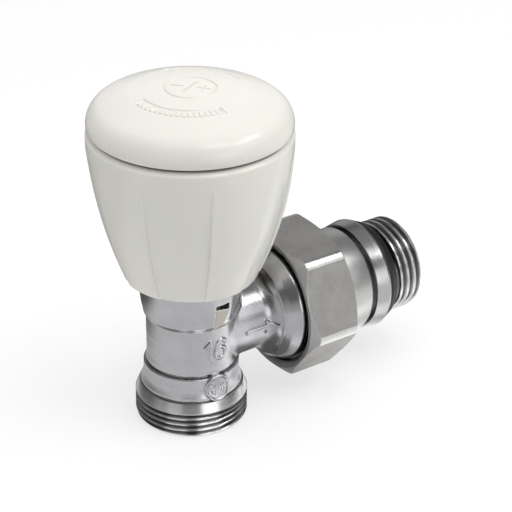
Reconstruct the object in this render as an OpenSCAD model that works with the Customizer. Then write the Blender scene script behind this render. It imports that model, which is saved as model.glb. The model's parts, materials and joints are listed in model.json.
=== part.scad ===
// Angle lockshield valve for a radiator: inlet below, outlet union to the side (+X), hand cap on top.
// Millimetres. +Z is up the valve's axis, +X runs out along the outlet.
// The origin is the centre of the inlet's bottom face.

/* [Inlet] */
// Outside diameter of the inlet's adaptor thread
inlet_thread_d = 24; // [23.5:0.1:24.5]
// Pitch of the inlet thread, 19 threads to the inch
inlet_pitch = 1.337; // [1.25:0.001:1.35]
// Bore that takes the end of a 16 mm pipe
pipe_socket_d = 16.1; // [15.5:0.1:16.5]
// Depth of the pipe socket
pipe_socket_depth = 9.5; // [8.5:0.1:10]

/* [Valve body] */
// Outside diameter of the barrel
barrel_d = 19; // [18.6:0.1:19.4]
// Outside diameter of the collar under the hand cap
collar_d = 21.6; // [21.2:0.1:22]
// Height of the body's top face
body_h = 33.2; // [33:0.1:33.5]
// Height of the outlet's axis
outlet_z = 19.6; // [19.4:0.1:19.8]
// Outside diameter of the neck that joins the outlet to the barrel
neck_d = 16.6; // [16:0.1:17]
// Diameter of the waterway through the outlet
waterway_d = 12; // [11:0.1:12]
// Diameter of the valve seat's hole
seat_d = 10.4; // [9.6:0.1:10.6]

/* [Union] */
// Across the flats of the union nut
nut_af = 30; // [29.4:0.1:31]
// Where the nut's hexagon starts, from the valve's axis
nut_x = 20.5; // [20.2:0.1:20.6]
// Length of the nut's hexagon
nut_hex_len = 12.5; // [12:0.1:13]
// Outside diameter of the nut's round boss
nut_boss_d = 23.6; // [23.2:0.1:24]
// Outside diameter of the body's union thread, G 3/4
union_thread_d = 26.44; // [26.2:0.01:26.5]
// Pitch of the union and radiator threads, 14 threads to the inch
gas_pitch = 1.814; // [1.75:0.001:1.85]

/* [Tailpiece] */
// Outside diameter of the radiator thread, G 1/2
tail_thread_d = 20.955; // [20.7:0.001:21]
// Distance from the valve's axis to the tailpiece's end
tail_end_x = 55.2; // [55:0.1:56]
// Outside diameter of the ring behind the seal
backing_ring_d = 24.9; // [24.4:0.1:25.4]

/* [Hand cap] */
// Largest diameter of the hand cap
cap_d = 42.2; // [41.5:0.1:43]
// Height of the cap's bottom rim
cap_rim_z = 33.7; // [33.6:0.1:33.9]
// Height of the joint between the skirt and the top disc
cap_joint_z = 66.2; // [66:0.1:66.6]
// Height of the top disc's crown
cap_top_z = 75.4; // [75:0.1:76]
// Wall of the moulded skirt
cap_wall = 1.7; // [1.5:0.1:1.9]
// Number of finger recesses round the skirt
finger_count = 5; // [4:1:6]
// Width of a finger recess, in degrees round the skirt
finger_deg = 38.6; // [30:0.1:45]
// Depth of a finger recess at its deepest
finger_depth = 0.6; // [0.3:0.05:0.8]

/* [Headwork] */
// Across the flats of the headwork's hexagon
headwork_af = 17; // [16:0.5:18]
// Diameter of the spindle's shaft
spindle_d = 6; // [5.9:0.05:6]
// Across the flats of the spindle's square end
square_af = 4.2; // [4:0.05:4.2]
// Pitch of the spindle's lifting thread
lift_pitch = 1.5; // [1.4:0.05:1.6]
// Turns of the hand cap from shut to fully open
open_turns = 2.75; // [2:0.25:2.75]

/* [Hidden] */

$fn = 96;
eps = 0.01;
gap = 0.1; // clearance between parts that slide or turn on each other

chrome = "#b9babd";
nickel = "#8f8d8a";
brass = "#c9a64f";
steel = "#a9acb0";
rubber = "#1c1c1e";
white = "#f0efe8";
nylon = "#e4e2d8";

// Heights and stations that several pieces share.
seat_z = 13.5;
chamber_d = 14.8;
chamber_z = 12.7;
headwork_bore_d = 15.6;
headwork_bore_z = 26;
shoulder_z = 5.75;
collar_z = 24.5;
bell_rim_x = 21.6;
union_end_x = 29;
port_socket_d = 18;
port_socket_x = 26.5;
flange_x = 29.3;
flange_end_x = 31.5;
boss_end_x = 39.9;
ring_x = 41;
ring_end_x = 44.5;
seal_end_x = 47.3;
tail_tube_d = 21.5;
tail_bore_d = 13;
guide_af = 9.7;
guide_top_z = 38.6;
neck_top_z = 44;
spindle_top_z = 53;
spindle_flange_z = 36.6;
lift_thread_z = 26.5;
plug_lift = open_turns * lift_pitch;
bush_z = 46.45;
hub_z = 47.9;
hub_top_z = 56;
hub_flats_d = 12.4; // across the corners of the hub's twelve-sided socket
cap_profile_r = 75; // radius of the skirt's side, seen from the side
cap_widest_z = 65.3;
finger_top_z = 62.5;

// ---- Outline helpers -------------------------------------------------------------------

// Points of an arc about c, from angle a0 to a1.
function arc(c, r, a0, a1, n = 8) =
    [for (i = [0:n]) let (a = a0 + (a1 - a0) * i / n) c + r * [cos(a), sin(a)]];

// Outline points of n thread ridges, [radius, height], rising from height h0.
// Whitworth form: the depth is 0.64 of the pitch, with flat crests and roots.
function ridges(r, pitch, h0, n) = [
    for (i = [0:n - 1], p = [[0.64, 0.08], [0, 0.42], [0, 0.58], [0.64, 0.92]])
        [r - p[0] * pitch, h0 + (i + p[1]) * pitch]
];

// Turns an outline of [radius, height] round the valve's axis.
module turned(points) {
    rotate_extrude() polygon(points);
}

// Turns an outline of [radius, distance] round the outlet's axis.
module turned_x(points) {
    translate([0, 0, outlet_z]) rotate([0, 90, 0]) rotate_extrude() polygon(points);
}

// A hexagonal bar up the valve's axis.
module hex_bar(af, z0, z1) {
    translate([0, 0, z0]) cylinder(h = z1 - z0, d = af / cos(30), $fn = 6);
}

// A ring of round section about the valve's axis.
module o_ring(centre_r, section_r, z) {
    translate([0, 0, z]) rotate_extrude() translate([centre_r, 0]) circle(r = section_r, $fn = 32);
}

// A plain ring about the valve's axis.
module ring(r_in, r_out, z0, z1) {
    turned([[r_in, z0], [r_out, z0], [r_out, z1], [r_in, z1]]);
}

// ---- Valve body ------------------------------------------------------------------------

module body_barrel() {
    r = inlet_thread_d / 2;
    b = barrel_d / 2;
    c = collar_d / 2;
    // A turned shoulder slopes in above the thread, up to the forging's lower rim.
    shoulder = [[r, shoulder_z - 0.2], [r, shoulder_z], [r - 0.85, shoulder_z + 1.95]];
    // The rim curves in to a short upright wall, and a hollow fillet joins that to the barrel.
    rim = [[b + 1.25, 8.5], [b + 1, 9.2], [b + 0.8, 9.9], [b + 0.67, 10.7], [b + 0.67, 12.95]];
    fillet = [[b + 0.55, 13.1], [b + 0.35, 13.5], [b + 0.15, 14.3], [b, 15.2]];
    // The upper collar springs from the barrel and swells gently towards its top.
    collar_foot = [[b, collar_z - 0.1], [b + 0.55, collar_z + 0.45], [b + 0.68, collar_z + 0.8]];
    swell_r = 19;
    turned(concat(
        [[0, 0], [r - 0.8, 0]],
        ridges(r, inlet_pitch, 0.23, 4),
        shoulder, rim, fillet, collar_foot,
        arc([c - swell_r, 30.4], swell_r, -14.5, 0, 6),
        [[c, body_h], [0, body_h]]
    ));
}

module body_outlet() {
    n = neck_d / 2;
    rim = 12.7;
    turned_x(concat(
        [[0, 0], [n, 0], [n, 13.6]],
        arc([n + 3.4, 13.6], 3.4, 180, 105, 6),
        [[rim - 1, 18.4], [rim - 0.2, 19.9], [rim, 20.2], [rim, bell_rim_x], [12, bell_rim_x]],
        ridges(union_thread_d / 2, gas_pitch, 21.7, 4),
        [[11.9, union_end_x], [0, union_end_x]]
    ));
}

module body_waterways() {
    turned([
        [0, -1], [9.4, -1], [9.4, 0], [pipe_socket_d / 2, 1.35], [pipe_socket_d / 2, pipe_socket_depth],
        [seat_d / 2, pipe_socket_depth + 1.2], [seat_d / 2, seat_z], [seat_d / 2 + 0.9, seat_z],
        [seat_d / 2 + 1.1, chamber_z], [chamber_d / 2, chamber_z], [chamber_d / 2, headwork_bore_z],
        [headwork_bore_d / 2, headwork_bore_z], [headwork_bore_d / 2, body_h + 1], [0, body_h + 1]
    ]);
    turned_x([
        [0, 0], [waterway_d / 2, 0], [waterway_d / 2, port_socket_x - 1.8], [port_socket_d / 2, port_socket_x],
        [port_socket_d / 2, union_end_x + 1], [0, union_end_x + 1]
    ]);
}

// Pockets on both sides of the collar, where a holding clip bites under a ledge.
module collar_pockets() {
    pocket_w = 3.4;
    pocket_h = 6.3;
    bite_h = 1.5; // height of the deeper slit at the pocket's top
    top = collar_z - 0.6 + pocket_h;
    reach = collar_d - barrel_d / 2;
    for (a = [0, 180]) rotate([0, 0, a]) translate([0.9 - pocket_w / 2, -collar_d, 0]) {
        translate([0, 0, top - pocket_h]) cube([pocket_w, reach + 0.1, pocket_h]);
        translate([0, 0, top - bite_h]) cube([pocket_w, reach + 0.9, bite_h]);
    }
}

// The size mark: a raised 1 and 6 on the barrel's -Y side.
module size_mark() {
    reach = barrel_d / 2 + 0.35;
    stroke = 0.6;
    translate([-1.3, -reach / 2, 19.1]) cube([stroke, reach, 4.8], center = true);
    translate([-1.95, -reach / 2, 20.8]) rotate([0, -42, 0]) cube([1.8, reach, stroke], center = true);
    translate([1.35, 0, 18.3]) rotate([90, 0, 0]) difference() {
        cylinder(h = reach, r = 1.6);
        translate([0, 0, -eps]) cylinder(h = reach + 2 * eps, r = 1.6 - stroke);
    }
    translate([0.35, -reach / 2, 19.9]) rotate([0, 14, 0]) cube([stroke, reach, 3.2], center = true);
}

// A plain disc raised on the lower rim, following the rim's curve.
module rim_disc() {
    disc_r = 2.9;
    proud = 0.3;
    intersection() {
        translate([0, -proud, 0]) body_barrel();
        translate([-0.2, 0, 10.6]) rotate([90, 0, 0]) cylinder(h = inlet_thread_d, r = disc_r);
    }
}

// The flow arrow, raised on the neck's -Y side.
module flow_arrow() {
    reach = neck_d / 2 + 0.35;
    translate([11, -reach / 2, outlet_z + 0.2]) cube([5.2, reach, 1], center = true);
    translate([0, 0, outlet_z + 0.2]) rotate([90, 0, 0]) linear_extrude(reach)
        polygon([[13.4, -1.7], [16.2, 0], [13.4, 1.7]]);
}

module valve_body() {
    color(chrome) difference() {
        union() {
            body_barrel();
            body_outlet();
            size_mark();
            rim_disc();
            flow_arrow();
        }
        body_waterways();
        collar_pockets();
    }
}

// ---- Headwork --------------------------------------------------------------------------

module headwork() {
    r = headwork_bore_d / 2 - gap;
    color(brass) difference() {
        union() {
            turned([
                [0, 26.2], [r - 0.5, 26.2], [r, 26.7], [r, 26.75], [r - 0.85, 26.75], [r - 0.85, 27.95],
                [r, 27.95], [r, body_h + 0.02], [9.6, body_h + 0.02], [9.6, body_h + 1], [5.6, body_h + 1],
                [5.6, neck_top_z - 0.4], [5.2, neck_top_z], [0, neck_top_z]
            ]);
            intersection() {
                hex_bar(headwork_af, body_h + 1, 40.2);
                turned([[0, 34], [9.6, 34], [9.6, 39.6], [8.6, 40.2], [0, 40.2]]);
            }
        }
        hex_bar(guide_af, 26, guide_top_z);
        cylinder(h = neck_top_z + 1, d = spindle_d + gap);
    }
}

module headwork_seal() {
    color(rubber) o_ring(7.31, 0.44, 27.35);
}

// ---- Spindle and what rides on it ------------------------------------------------------

module spindle() {
    r = spindle_d / 2;
    color(brass) difference() {
        union() {
            turned(concat(
                [[0, lift_thread_z], [r - 1, lift_thread_z]],
                ridges(r - 0.1, lift_pitch, lift_thread_z + 0.2, 6),
                [[r - 0.8, spindle_flange_z], [4.6, spindle_flange_z], [4.6, 38.2], [r, 38.2]],
                [for (z = [40.4, 42.4], p = [[0, -0.6], [0.9, -0.6], [0.9, 0.6], [0, 0.6]]) [r - p[0], z + p[1]]],
                [[r, 44.1], [r - 0.5, 44.1], [r - 0.5, 44.7], [r, 44.7], [r, 46.4], [0, 46.4]]
            ));
            translate([-square_af / 2, -square_af / 2, 46]) cube([square_af, square_af, spindle_top_z - 46]);
        }
        translate([0, 0, 45]) cylinder(h = 10, d = 2.5);
    }
}

module thrust_washer() {
    color(nylon) ring(spindle_d / 2 + gap, 4.6, 38.22, guide_top_z - 0.02);
}

module spindle_clip() {
    color(steel) difference() {
        ring(spindle_d / 2 - 0.45, 4.1, 44.15, 44.65);
        translate([0, -0.9, 44]) cube([6, 1.8, 1]);
        for (s = [-1, 1]) translate([3.3, s * 1.45, 44]) cylinder(h = 1, r = 0.35);
    }
}

module spindle_o_rings() {
    color(rubber) for (z = [40.4, 42.4]) o_ring(2.55, 0.43, z);
}

// ---- Plug ------------------------------------------------------------------------------

module plug_carrier() {
    top_z = spindle_flange_z - plug_lift - 0.05;
    bore_z = lift_thread_z - plug_lift - 0.2;
    color(brass) difference() {
        union() {
            turned([[0, 15.2], [6.2, 15.2], [6.4, 15.4], [6.4, 17], [6.2, 17.2], [4.3, 17.6], [4.3, 26], [0, 26]]);
            intersection() {
                hex_bar(guide_af - 2 * gap, 25.8, top_z);
                turned([[0, 25], [5.3, 25], [5.3, top_z - 0.4], [4.9, top_z], [0, top_z]]);
            }
        }
        translate([0, 0, bore_z]) cylinder(h = 15, d = spindle_d);
        translate([0, 0, 15]) cylinder(h = 5.5, d = 3.1);
        translate([0, 0, 15]) cylinder(h = 1, d = 11.8);
    }
}

module plug_washer() {
    color(rubber) turned([[1.6, 13.52], [5.6, 13.52], [5.85, 13.8], [5.85, 15.98], [1.6, 15.98]]);
}

module plug_screw() {
    color(steel) difference() {
        turned([[0, 12.2], [2.5, 12.2], [2.9, 12.6], [2.9, 13.5], [1.5, 13.5], [1.5, 20], [0, 20]]);
        translate([-3, -0.4, 12]) cube([6, 0.8, 0.9]);
    }
}

// ---- Hand cap --------------------------------------------------------------------------

// Radius of the skirt's outside at height z: an arc that stands upright near the joint.
function skirt_r(z) =
    cap_d / 2 - cap_profile_r + sqrt(pow(cap_profile_r, 2) - pow(cap_widest_z - z, 2));

// Depth of a finger recess at height z: nothing at its top, most in the middle, less at the rim.
function finger_in(z) =
    finger_depth * pow(sin(160 * (finger_top_z - z) / (finger_top_z - cap_rim_z)), 0.7);

// The skirt's side from height z0 to z1, set in by the given amount.
function skirt_side(z0, z1, inset, n = 10) =
    [for (i = [0:n]) let (z = z0 + (z1 - z0) * i / n) [skirt_r(z) - inset, z]];

module skirt_shell() {
    rim = cap_rim_z;
    turned(concat(
        skirt_side(cap_joint_z, rim + 1.2, cap_wall),
        [[skirt_r(rim) - cap_wall - 0.3, rim + 0.2], [skirt_r(rim) - cap_wall + 0.1, rim]],
        [[skirt_r(rim) - 0.8, rim]],
        arc([skirt_r(rim + 1) - 1.1, rim + 0.8], 0.8, -60, 0, 3),
        skirt_side(rim + 1.4, cap_joint_z - 0.4, 0),
        [[skirt_r(cap_joint_z) - 0.15, cap_joint_z - 0.12], [skirt_r(cap_joint_z) - 0.5, cap_joint_z]]
    ));
}

// What a finger recess takes off the skirt: a shallow panel that runs out at its top.
module finger_recess() {
    n = 10;
    inner = [
        for (i = [0:n]) let (z = cap_rim_z + (finger_top_z - cap_rim_z) * i / n)
            [skirt_r(z) - finger_in(z), z]
    ];
    rotate([0, 0, -finger_deg / 2]) rotate_extrude(angle = finger_deg)
        polygon(concat([[skirt_r(cap_rim_z) - 0.4, cap_rim_z - 1]], inner, [[cap_d / 2 + 1, finger_top_z],
            [cap_d / 2 + 1, cap_rim_z - 1]]));
}

module cap_skirt() {
    web_z = 53;
    rib_z = 48.2;
    disc_rest_z = 61.98;
    color(white) difference() {
        union() {
            skirt_shell();
            ring(0, 8, hub_z, hub_top_z);
            ring(7.5, skirt_r(web_z) - 1, web_z, web_z + 1.8);
            for (a = [0:60:300]) rotate([0, 0, a + 18])
                translate([7.7, -0.6, rib_z]) cube([skirt_r(rib_z) - 8.4, 1.2, web_z - rib_z + 1]);
            // Posts that carry the top disc's clip ring.
            for (a = [30:60:330]) rotate([0, 0, a])
                translate([17.6, -0.9, web_z + 1]) cube([2, 1.8, disc_rest_z - web_z - 1]);
        }
        for (i = [0:finger_count - 1]) rotate([0, 0, 360 * i / finger_count + 13.3]) finger_recess();
        translate([0, 0, hub_z - 1]) cylinder(h = 10, d = hub_flats_d, $fn = 12);
    }
}

module drive_bush() {
    socket = square_af + 0.1;
    color(nylon) difference() {
        union() {
            ring(0, 7.4, bush_z, hub_z - 0.1);
            translate([0, 0, bush_z + 1]) cylinder(h = hub_top_z - bush_z - 1.1, d = hub_flats_d - 0.15, $fn = 12);
        }
        translate([-socket / 2, -socket / 2, bush_z - 1]) cube([socket, socket, 8.2]);
        cylinder(h = 60, d = 3.4);
    }
}

module cap_screw_washer() {
    color(steel) ring(1.4, 7, hub_top_z + 0.02, hub_top_z + 0.8);
}

module cap_screw() {
    head_z = hub_top_z + 0.82;
    color(steel) difference() {
        turned([[0, 46], [1, 46], [1.2, 46.4], [1.2, head_z], [2.6, head_z], [2.6, head_z + 1.2],
            [2, head_z + 1.8], [0, head_z + 1.8]]);
        for (a = [0, 90]) rotate([0, 0, a]) translate([-1.6, -0.3, head_z + 0.6]) cube([3.2, 0.6, 2]);
    }
}

// The disc's dome: a shoulder arc that runs into a flatter crown arc, over a ring that clips in the skirt.
module top_disc() {
    r = cap_d / 2 - 0.15;
    z = cap_joint_z + 0.45;
    shoulder_r = 4.9;
    crown_r = 64;
    clip_r = skirt_r(cap_joint_z) - cap_wall - 0.15;
    color(white) {
        turned(concat(
            [[0, cap_top_z - 1.6], [14, 72], [17.6, 69.4], [18, z + 0.1], [r - 0.3, z]],
            [[r, z + 0.4]],
            arc([r - shoulder_r, z + 1.3], shoulder_r, 4, 66, 8),
            [for (a = [12:-3:0]) [crown_r * sin(a), cap_top_z - crown_r * (1 - cos(a))]]
        ));
        difference() {
            ring(clip_r - 1.5, clip_r, 62, 70);
            for (a = [0:60:300]) rotate([0, 0, a]) translate([15, -2.5, 61]) cube([6, 5, 4.5]);
        }
    }
}

// ---- Union and tailpiece ---------------------------------------------------------------

module union_nut() {
    x1 = nut_x + nut_hex_len;
    b = nut_boss_d / 2;
    corner = nut_af / 2 * 1.127;
    color(nickel) difference() {
        union() {
            intersection() {
                translate([nut_x, 0, outlet_z]) rotate([8.4, 0, 0]) rotate([0, 90, 0])
                    rotate([0, 0, 30]) cylinder(h = nut_hex_len, d = nut_af / cos(30), $fn = 6);
                turned_x([[0, nut_x], [nut_af / 2 - 0.5, nut_x], [corner, nut_x + 1.3], [corner, x1 - 1.2],
                    [nut_af / 2 - 0.3, x1], [0, x1]]);
            }
            turned_x([[0, nut_x + 1], [b, nut_x + 1], [b, boss_end_x - 0.4], [b - 0.4, boss_end_x], [0, boss_end_x]]);
        }
        turned_x([
            [0, nut_x - 1], [14.2, nut_x - 1], [14.2, nut_x], [13.6, nut_x + 0.6], [13.6, 22.4],
            [union_thread_d / 2 + gap, 22.6], [union_thread_d / 2 + gap, 29.2], [12.05, 29.4],
            [12.05, flange_end_x + 0.05], [tail_tube_d / 2 + gap, flange_end_x + 0.05],
            [tail_tube_d / 2 + gap, boss_end_x + 1], [0, boss_end_x + 1]
        ]);
    }
}

module union_o_ring() {
    color(rubber) translate([28.1, 0, outlet_z]) rotate([0, 90, 0])
        rotate_extrude() translate([8.45, 0]) circle(r = 0.46, $fn = 32);
}

module tailpiece() {
    nose_r = port_socket_d / 2 - gap;
    tube_r = tail_tube_d / 2;
    thread_r = tail_thread_d / 2;
    color(chrome) {
        difference() {
            turned_x(concat(
                [[0, 27], [nose_r - 0.5, 27], [nose_r, 27.4], [nose_r, 27.55], [nose_r - 0.95, 27.55],
                    [nose_r - 0.95, 28.65], [nose_r, 28.65], [nose_r, flange_x], [11.9, flange_x],
                    [11.9, flange_end_x], [tube_r, flange_end_x], [tube_r, ring_end_x],
                    [thread_r - 1.2, ring_end_x]],
                ridges(thread_r, gas_pitch, seal_end_x - 0.05, 4),
                [[thread_r - 1.1, tail_end_x], [0, tail_end_x]]
            ));
            turned_x([[0, 26], [tail_bore_d / 2, 26], [tail_bore_d / 2, 38], [tail_bore_d / 2 + 1.1, 39],
                [tail_bore_d / 2 + 1.1, tail_end_x - 0.6], [tail_bore_d / 2 + 1.7, tail_end_x],
                [tail_bore_d / 2 + 1.7, tail_end_x + 1], [0, tail_end_x + 1]]);
        }
        // Two lugs in the bore, for the key that screws the tailpiece into the radiator.
        for (s = [-1, 1]) translate([47, s * 6.9, outlet_z]) cube([6, 2.2, 2.6], center = true);
    }
}

module backing_ring() {
    r = backing_ring_d / 2;
    inner = tail_tube_d / 2 + 0.02;
    color(chrome) turned_x([[inner, ring_x], [r - 0.35, ring_x], [r, ring_x + 0.35], [r, ring_end_x - 0.35],
        [r - 0.35, ring_end_x], [inner, ring_end_x]]);
}

module tail_seal() {
    inner = tail_thread_d / 2 - 1.15;
    color(rubber) turned_x([[inner, ring_end_x + 0.02], [11.9, ring_end_x + 0.02], [11.9, 45.4],
        [11.1, seal_end_x - 0.1], [inner, seal_end_x - 0.1]]);
}

valve_body();
headwork();
headwork_seal();
spindle();
thrust_washer();
spindle_clip();
spindle_o_rings();
plug_carrier();
plug_washer();
plug_screw();
cap_skirt();
drive_bush();
cap_screw();
cap_screw_washer();
top_disc();
union_nut();
union_o_ring();
tailpiece();
backing_ring();
tail_seal();
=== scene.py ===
"""The looks of an angle lockshield valve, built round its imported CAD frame.

Shapes are worked out in millimetres and turned into metres when a mesh is made. +Z is the spindle's axis
and +X the outlet's. Each visible CAD node is stood for by one or more finer pieces made here. The hidden
nodes stay as CAD made them and only take a material.
"""

import json
import math

import bpy
import numpy as np
from mathutils import Matrix, Vector


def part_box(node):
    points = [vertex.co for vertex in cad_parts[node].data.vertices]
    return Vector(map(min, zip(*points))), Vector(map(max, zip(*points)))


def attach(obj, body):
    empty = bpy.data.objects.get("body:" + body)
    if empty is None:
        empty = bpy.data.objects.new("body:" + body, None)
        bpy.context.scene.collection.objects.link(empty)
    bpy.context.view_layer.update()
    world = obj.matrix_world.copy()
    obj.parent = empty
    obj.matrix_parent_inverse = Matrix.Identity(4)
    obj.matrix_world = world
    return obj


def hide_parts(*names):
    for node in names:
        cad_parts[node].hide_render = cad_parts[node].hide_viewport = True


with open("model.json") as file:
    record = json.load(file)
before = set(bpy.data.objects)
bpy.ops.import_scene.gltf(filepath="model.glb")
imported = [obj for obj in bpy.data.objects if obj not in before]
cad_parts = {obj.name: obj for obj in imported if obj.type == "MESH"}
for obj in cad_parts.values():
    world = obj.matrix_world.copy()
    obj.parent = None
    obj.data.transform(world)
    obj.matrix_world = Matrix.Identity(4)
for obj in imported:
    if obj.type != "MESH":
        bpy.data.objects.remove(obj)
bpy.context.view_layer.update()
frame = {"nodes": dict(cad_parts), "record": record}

MM = 0.001
TAU = 2 * math.pi


# ---- Sizes from the frame

def low_high(node):
    """A CAD node's lowest and highest corners, in millimetres."""
    low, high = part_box(node)
    return np.array(low) / MM, np.array(high) / MM


def mount(name):
    return next(m for m in frame["record"]["mounts"] if m["name"] == name)


def lead(joint):
    """Millimetres that a coupled slide moves in one turn of the joint it follows."""
    pairs = frame["record"]["behaviour"]["couplings"]
    ratio = next(c["ratio"] for c in pairs if c["joint"] == joint)
    return ratio * TAU / MM


OUTLET_Z = mount("tail_thread")["pos_m"][2] / MM
INLET_R = mount("inlet_thread")["dims"]["r_mm"]
SOCKET_R = mount("pipe_socket")["dims"]["r_mm"]
TAIL_R = mount("tail_thread")["dims"]["r_mm"]
GAS_PITCH = lead("tail_draw")
FINE_PITCH = 1.337
BODY_TOP = low_high("valve_body")[1][2]
UNION_END = low_high("valve_body")[1][0]
RIM_Z = low_high("cap_skirt")[0][2]
JOINT_Z = low_high("cap_skirt")[1][2]
CAP_R = -low_high("cap_skirt")[0][1]
DISC_R = -low_high("top_disc")[0][1]
DISC_TOP = low_high("top_disc")[1][2]
CLIP_Z = low_high("top_disc")[0][2]
NUT_X = low_high("union_nut")[0][0]
BOSS_END = low_high("union_nut")[1][0]
NOSE_X = low_high("tailpiece")[0][0]
TAIL_END = low_high("tailpiece")[1][0]
RING_X, RING_END = low_high("backing_ring")[0][0], low_high("backing_ring")[1][0]
RING_R = low_high("backing_ring")[1][1]
SEAL_END = low_high("tail_seal")[1][0]
SEAL_R = low_high("tail_seal")[1][1]

BARREL_R = 9.5
COLLAR_R = 10.8
NECK_R = 8.3
BELL_R = 12.7
UNION_R = 13.22
SHOULDER_Z = 7.7
THREAD_SEAM_Z = 7.95
RIM_TOP_Z = 13.0
COLLAR_Z = 24.4
BELL_RIM_X = 21.6
POCKET_X = 0.9
POCKET_HALF = 1.7
UNION_BORE_R = 9.0
WATERWAY_R = 6.0
CHAMBER_R = 7.4
HEADWORK_R = 7.8
TUBE_R = 10.75
NUT_HALF = 15.0
NUT_CORNER_R = NUT_HALF * 1.127
NUT_CUT_R = 16.72
NUT_HEX_LEN = 12.5
NUT_TURN = 38.4
FINGERS = 5
FINGER_DEG = 38.6
FINGER_AT = 13.3
FINGER_TOP_Z = 62.5
FINGER_DEPTH = 0.6


# ---- Outlines

def arc(centre_r, centre_h, radius, start, stop, count=10):
    """Points of an arc, from angle start to stop in degrees."""
    angles = np.radians(np.linspace(start, stop, count + 1))
    return [(centre_r + radius * math.cos(a), centre_h + radius * math.sin(a)) for a in angles]


def rounded(corners, steps=5):
    """A closed outline from (r, h) or (r, h, fillet) corners."""
    points = []
    count = len(corners)
    for i, corner in enumerate(corners):
        here = np.array(corner[:2], float)
        fillet = corner[2] if len(corner) > 2 else 0
        if not fillet:
            points.append(tuple(here))
            continue
        before = np.array(corners[i - 1][:2], float) - here
        after = np.array(corners[(i + 1) % count][:2], float) - here
        room = 0.49 * min(np.linalg.norm(before), np.linalg.norm(after))
        before /= np.linalg.norm(before)
        after /= np.linalg.norm(after)
        half = math.acos(np.clip(before @ after, -1, 1)) / 2
        reach = min(fillet / math.tan(half), room)
        for t in np.linspace(0, 1, steps + 1):
            # A quadratic curve with its handle on the corner stands in for the fillet's arc.
            start, end = here + before * reach, here + after * reach
            points.append(tuple((1 - t) ** 2 * start + 2 * t * (1 - t) * here + t * t * end))
    return points


def divided(points, longest, where=lambda r, h: True):
    """The closed outline with its edges cut into pieces no longer than longest."""
    out = []
    for i, (r0, h0) in enumerate(points):
        r1, h1 = points[(i + 1) % len(points)]
        long = math.hypot(r1 - r0, h1 - h0)
        cuts = max(1, math.ceil(long / longest)) if where((r0 + r1) / 2, (h0 + h1) / 2) else 1
        out += [(r0 + (r1 - r0) * k / cuts, h0 + (h1 - h0) * k / cuts) for k in range(cuts)]
    return out


def smooth_step(low, high, value):
    t = np.clip((value - low) / (high - low), 0, 1)
    return t * t * (3 - 2 * t)


# ---- Meshes

def fill_mesh(name, verts, faces, sharp=32):
    """A mesh object from vertices in millimetres and a list of face arrays (quads or triangles)."""
    mesh = bpy.data.meshes.new(name)
    verts = np.asarray(verts, np.float64) * MM
    faces = [np.asarray(f, np.int32) for f in faces if len(f)]
    sizes = np.concatenate([np.full(len(f), f.shape[1], np.int32) for f in faces])
    mesh.vertices.add(len(verts))
    mesh.vertices.foreach_set("co", verts.ravel())
    mesh.loops.add(int(sizes.sum()))
    mesh.loops.foreach_set("vertex_index", np.concatenate([f.ravel() for f in faces]))
    mesh.polygons.add(len(sizes))
    mesh.polygons.foreach_set("loop_start", np.concatenate([[0], np.cumsum(sizes)[:-1]]).astype(np.int32))
    mesh.update(calc_edges=True)
    mesh.validate()
    mesh.shade_smooth()
    mesh.set_sharp_from_angle(angle=math.radians(sharp))
    obj = bpy.data.objects.new(name, mesh)
    bpy.context.scene.collection.objects.link(obj)
    return obj


def turned(points, thetas=None, change=None, closed=True):
    """Vertices and faces of an outline turned round Z. change(theta, r, h) may move its points.
    With closed False the outline's two ends lie on the axis."""
    thetas = np.linspace(0, TAU, 193)[:-1] if thetas is None else np.asarray(thetas)
    r, h = np.array(points, float).T
    radius = np.broadcast_to(r, (len(thetas), len(r))).copy()
    height = np.broadcast_to(h, radius.shape).copy()
    if change is not None:
        radius, height = change(thetas[:, None], radius, height)
    if not closed:
        caps = height[0, 0], height[0, -1]
        radius, height = radius[:, 1:-1], height[:, 1:-1]
    rows, cols = radius.shape
    x, y = radius * np.cos(thetas)[:, None], radius * np.sin(thetas)[:, None]
    verts = np.stack([x, y, height], axis=2).reshape(-1, 3)
    at = np.arange(rows * cols).reshape(rows, cols)
    nxt = np.roll(at, -1, axis=0)
    if closed:
        quads = np.stack([at, nxt, np.roll(nxt, -1, 1), np.roll(at, -1, 1)], axis=2).reshape(-1, 4)
        return verts, [quads]
    quads = np.stack([at[:, :-1], nxt[:, :-1], nxt[:, 1:], at[:, 1:]], axis=2).reshape(-1, 4)
    ends = np.array([[0, 0, caps[0]], [0, 0, caps[1]]])
    first, last = len(verts), len(verts) + 1
    low = np.stack([np.full(rows, first), nxt[:, 0], at[:, 0]], axis=1)
    high = np.stack([np.full(rows, last), at[:, -1], nxt[:, -1]], axis=1)
    return np.concatenate([verts, ends]), [quads, np.concatenate([low, high])]


def turned_along_x(points, thetas=None, change=None):
    """The same, round the outlet's axis. An outline's h is then its x."""
    verts, faces = turned(points, thetas, change)
    x, y, z = verts.T
    return np.stack([z, x, y + OUTLET_Z], axis=1), faces


def gathered(step, places, reach, count, gap):
    """Angles round a circle, a step of degrees apart and closer together near some places."""
    angles = list(np.arange(0, 360, step))
    for place in places:
        angles += list(place + np.linspace(-reach, reach, count))
    angles = np.unique(np.round(np.mod(angles, 360), 3))
    keep = np.concatenate([[True], np.diff(angles) > gap])
    return np.radians(angles[keep])


def block(corner, size, turn=0.0):
    """Vertices and faces of a small block, turned by some degrees round Z."""
    low, size = np.array(corner, float), np.array(size, float)
    verts = np.array([low + size * (i & 1, i >> 1 & 1, i >> 2 & 1) for i in range(8)])
    c, s = math.cos(math.radians(turn)), math.sin(math.radians(turn))
    verts = verts @ np.array([[c, s, 0], [-s, c, 0], [0, 0, 1]])
    quads = [[0, 2, 3, 1], [4, 5, 7, 6], [0, 1, 5, 4], [2, 6, 7, 3], [0, 4, 6, 2], [1, 3, 7, 5]]
    return verts, [np.array(quads)]


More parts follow.
